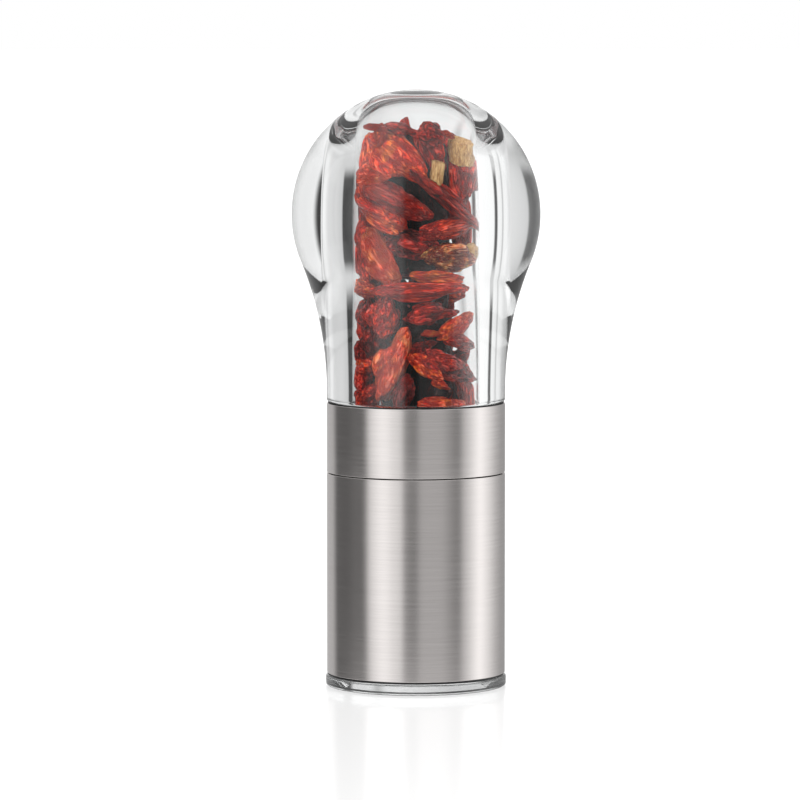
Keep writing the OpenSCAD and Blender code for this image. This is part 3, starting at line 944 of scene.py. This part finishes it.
# Chillies seen from the front: place across, height over the neck, lean, length, thickness,
# skin and depth from the wall. Millimetres and degrees; the skins are named below.
FRONT = [
    (-4.0, 73.2, -5, 12, 4.2, "dark", 6), (-9.4, 73.4, 100, 6.5, 3.2, "orange", 1),
    (4.0, 73.4, -60, 7.6, 7.0, "dark", 0.5), (8.8, 72.4, -30, 5.5, 2.2, "orange", 3),
    (-5.4, 66.8, -33, 17.5, 9.0, "orange", 1.3), (4.6, 67.5, -60, 13, 8, "dark", 4),
    (12.5, 61.9, 98, 13.5, 7.2, "red", 0), (-11.2, 61.9, 5, 17, 8.0, "pale", 0),
    (-3.8, 56.6, -20, 17, 6.8, "red", 0), (-9.6, 54.6, -19, 20, 7.0, "orange", 0.6),
    (-16.0, 58.4, 30, 9, 4, "dark", 0), (7.2, 57.8, -34, 22, 4.2, "dark", 0.8),
    (10.6, 50.9, 5, 24, 5.0, "red", 0), (8.4, 44.5, 3, 14.5, 7.0, "brown", 0),
    (-13.7, 48.4, -60, 15, 8, "red", 0), (-8.8, 42.3, -52, 17, 7, "pale", 0.3),
    (5.4, 38.7, -5, 14, 4.5, "orange", 0), (-13.4, 35.3, -10, 12, 5.2, "orange", 0),
    (1.0, 34.6, 3, 23, 5.4, "red", 0.3), (-14.6, 26.0, 88, 15, 7.5, "red", 0),
    (-8.3, 26.5, 80, 13, 8, "red", 1.3), (3.7, 27.4, 10, 15, 7.2, "dark", 0.2),
    (4.0, 21.4, 0, 5, 2.4, "orange", 0.8), (10.6, 23.8, 33, 14, 5.2, "orange", 0),
    (12.0, 18.8, -15, 14, 5.0, "red", 0.3), (-6.5, 12.0, 75, 21, 8.8, "pale", 0),
    (8.8, 11.1, -22, 22, 8.0, "dark", 0), (2.6, 11.4, -38, 11.5, 4.8, "orange", 0),
    (6.5, 6.2, -30, 6, 2.8, "orange", 0.2), (-3.4, 4.6, 80, 10, 6, "dark", 0.6),
    (6.8, 0.6, 0, 14, 4.5, "orange", 0), (-13.0, 2.6, 25, 14, 6, "red", 0),
    (-14.8, 8.0, -40, 12, 5.2, "red", 0), (-15.4, 16.0, 70, 9, 5, "dark", 0),
    (-1.0, 47.5, -10, 14, 6, "dark", 3.5), (1.0, 17.0, 20, 10, 5, "dark", 4),
    (-10.3, 75.6, -8, 7, 2.2, "red", 0.4),
]
SKINS = {
    "orange": ("chillies_orange", "chilli_orange"),
    "pale": ("chillies_orange", "chilli_orange"),
    "red": ("chillies_red", "chilli_red"),
    "dark": ("chillies_dark", "chilli_dark"),
    "brown": ("chillies_dark", "chilli_dark"),
    "core": ("chillies_dark", "chilli_dark"),
}
# Cut ends of stalks, laid out in the same way
STALKS = [(11.9, 67.6, 92, 5.7, 6.4, 0), (5.3, 62.9, 80, 5.6, 3.4, 2), (13.6, 45.5, 10, 5, 4, 0)]
WALL_GAP = 0.25 * MM
# Rows of chillies at the back and sides, and in the core, whose near-black skin is painted shade in the
# gaps: their number, step, lowest height and size
BACK_ROWS = 8
BACK_STEP = 8.4
BACK_ANGLES = (104, 142, 180, 218, 256)
BACK_SHIFT = 18
BACK_LOW = 3
BACK_LENGTH = 17
BACK_DEPTH = 0.2
CORE_STEP = 11
CORE_ROWS = 6
CORE_ANGLES = (-50, 60, 180)
CORE_SHIFT = 25
CORE_LOW = 4
CORE_LEAN = 75
CORE_LENGTH = 17
CORE_THICK = 9
CORE_DEPTH = 7.5


def wall_angle(aside, thickness, depth):
    """Angle round the hollow at which a chilli lies so far to the side of the middle."""
    out = BORE_R / MM - thickness / 2 - depth
    return math.degrees(math.asin(max(-1, min(1, aside / out))))


def lay_chilli(master, name, angle, height, lean, length, thickness, depth, roll):
    """A copy of a master chilli, stretched to size and laid against the wall of the hollow."""
    data = master.data.copy()
    piece = bpy.data.objects.new(name, data)
    bpy.context.scene.collection.objects.link(piece)
    half_l = length / 2 * MM
    half_t = thickness / 2 * MM
    out = BORE_R - WALL_GAP - half_t - depth * MM
    lean_turn = math.radians(lean)
    reach = half_l * 0.8 * abs(math.cos(lean_turn))
    limit = BORE_R - WALL_GAP - 0.25 * half_t
    out = min(out, math.sqrt(max(0, limit**2 - reach**2)))
    stretch = Matrix.Diagonal((half_t, 0.9 * half_t, half_l, 1))
    along_x = Matrix.Rotation(math.pi / 2, 4, "Y") @ Matrix.Rotation(roll, 4, "Z")
    tilt = Matrix.Rotation(-lean_turn, 4, "Y")
    push = Matrix.Translation((0, -out, SEAL_TOP + height * MM))
    turn = Matrix.Rotation(math.radians(angle), 4, "Z")
    data.transform(turn @ push @ tilt @ along_x @ stretch)
    keep_inside(data)
    return piece


def keep_inside(data):
    """Presses whatever touches the wall, the ceiling or the spider's arms back from it."""
    low = SPIDER_TOP + WALL_GAP
    for vertex in data.vertices:
        vertex.co.z = min(max(vertex.co.z, low), BORE_TOP - 3 * WALL_GAP)
        reach = math.hypot(vertex.co.x, vertex.co.y)
        limit = hollow_r(vertex.co.z + WALL_GAP) - WALL_GAP
        if reach > limit:
            vertex.co.x *= limit / reach
            vertex.co.y *= limit / reach


def make_chillies():
    # Each skin: its deep, mid and light colours, the painted shade of its folds and wrinkle valleys, and the
    # painted highlight of its crests.
    finishes = {
        "orange": chilli_skin("dried chilli skin, orange", "d81c00", "fe3e00", "ff7c10", "800a00", "ffa878"),
        "pale": chilli_skin("dried chilli skin, light", "f0340c", "ff541c", "ff8840", "a01800", "ffb898"),
        "red": chilli_skin("dried chilli skin, red", "b00c00", "ee2600", "ff420c", "580200", "ff8870"),
        "dark": chilli_skin("dried chilli skin, dark", "780600", "bc1408", "e8300c", "300000", "e06858"),
        "brown": chilli_skin("dried chilli skin, brown", "88200c", "cc5424", "f0ac60", "501004", "fad8a0"),
        # The core's near-black skin is painted shade seen through the gaps between the chillies.
        "core": chilli_skin("dried chilli skin, painted core shade", "200404", "380a06", "50120a", "0e0202", "50160e"),
    }
    stalk_finish = dry_stalk("dried chilli stalk")
    masters = [master_chilli(i) for i in range(MASTER_N)]
    dice = random.Random(7)
    rows = [(wall_angle(row[0], row[4], row[6]), *row[1:]) for row in FRONT]
    for row in range(BACK_ROWS):
        for i, angle in enumerate(BACK_ANGLES):
            if i == 0 and 2 <= row <= 5:
                continue
            skin = ("red", "dark", "orange")[(row + i) % 3]
            lean = dice.uniform(-45, 45) if (row + i) % 3 else dice.uniform(60, 110)
            size = dice.uniform(7, 9)
            angle += BACK_SHIFT * (row % 2)
            height = BACK_LOW + BACK_STEP * row
            rows.append((angle, height, lean, BACK_LENGTH, size, skin, BACK_DEPTH))
    # The core chillies wear the near-black skin: painted shade behind the chillies in front.
    for row in range(CORE_ROWS):
        height = CORE_LOW + CORE_STEP * row
        for side in CORE_ANGLES:
            angle = side + CORE_SHIFT * row
            rows.append((angle, height, CORE_LEAN, CORE_LENGTH, CORE_THICK, "core", CORE_DEPTH))
    for i, (angle, height, lean, length, thickness, skin, depth) in enumerate(rows):
        name = f"chilli_{i:02d}_{skin}"
        roll = dice.uniform(0, 2 * math.pi)
        piece = lay_chilli(
            masters[i % MASTER_N], name, angle, height, lean, length, thickness, depth, roll
        )
        dress(piece, finishes[skin])
        node, slot = SKINS[skin]
        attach(piece, "turning_ring")
        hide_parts(node)
    stub = master_stub()
    for i, (aside, height, lean, length, thickness, depth) in enumerate(STALKS):
        angle = wall_angle(aside, thickness, depth)
        piece = lay_chilli(
            stub, f"stalk_{i}", angle, height, lean, length, thickness, depth, 1.0 + i
        )
        dress(piece, stalk_finish)
        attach(piece, "turning_ring")
        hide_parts("chillies_red")
    for master in (*masters, stub):
        bpy.data.objects.remove(master)


# ---- Finishes of the frame's own pieces ----


def dress_frame():
    plastic = moulded("moulded black ABS", ("121212", "1c1c1c"), 0.45)
    rubber = moulded("black silicone rubber", ("0b0b0b", "151515"), 0.7, depth=0.02)
    cutter = brushed_stainless("ground cutter steel", ("9a9894", "c4c2be"))
    bright = moulded("zinc-plated steel", ("a6a6a4", "bcbcba"), 0.3, metallic=1.0)
    spring = moulded("spring steel", ("6e6e70", "8a8a8c"), 0.3, metallic=1.0)
    bronze = moulded("sintered bronze", ("8a6a38", "a98648"), 0.45, metallic=1.0)
    white = moulded("white acetal", ("dcdad2", "e8e6e0"), 0.4)
    milky = moulded("milky silicone rubber", ("dde0e0", "eceeee"), 0.5)
    finishes = {
        plastic: ("housing_liner", "hopper_funnel", "ring_liner", "drive_spider"),
        rubber: ("cap_seal", "neck_seal"),
        milky: ("head_seal",),
        cutter: ("tooth_ring", "cutter_plate", "cutter_rotor", "feeder"),
        bright: ("plate_screws", "spider_screws", "drive_shaft", "shaft_nut"),
        spring: ("retaining_clip", "shaft_clip", "rotor_spring"),
        bronze: ("shaft_bush", "thrust_washer"),
        white: ("glide_ring",),
    }
    for made, names in finishes.items():
        for name in names:
            dress(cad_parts[name], made)


make_camera()
make_world()
make_floor()
for box in SOFTBOXES:
    softbox(*box)
dress_frame()
steel = brushed_stainless("stainless steel, brushed round", ("dad5d3", "e1dcda"))
steel_shell("steel_sleeve", SLEEVE_LOW, SLEEVE_TOP, "housing", "lower_sleeve", steel)
steel_shell("steel_ring", RING_LOW, RING_TOP, "turning_ring", "upper_ring", steel)
make_cap()
make_head()
make_chillies()
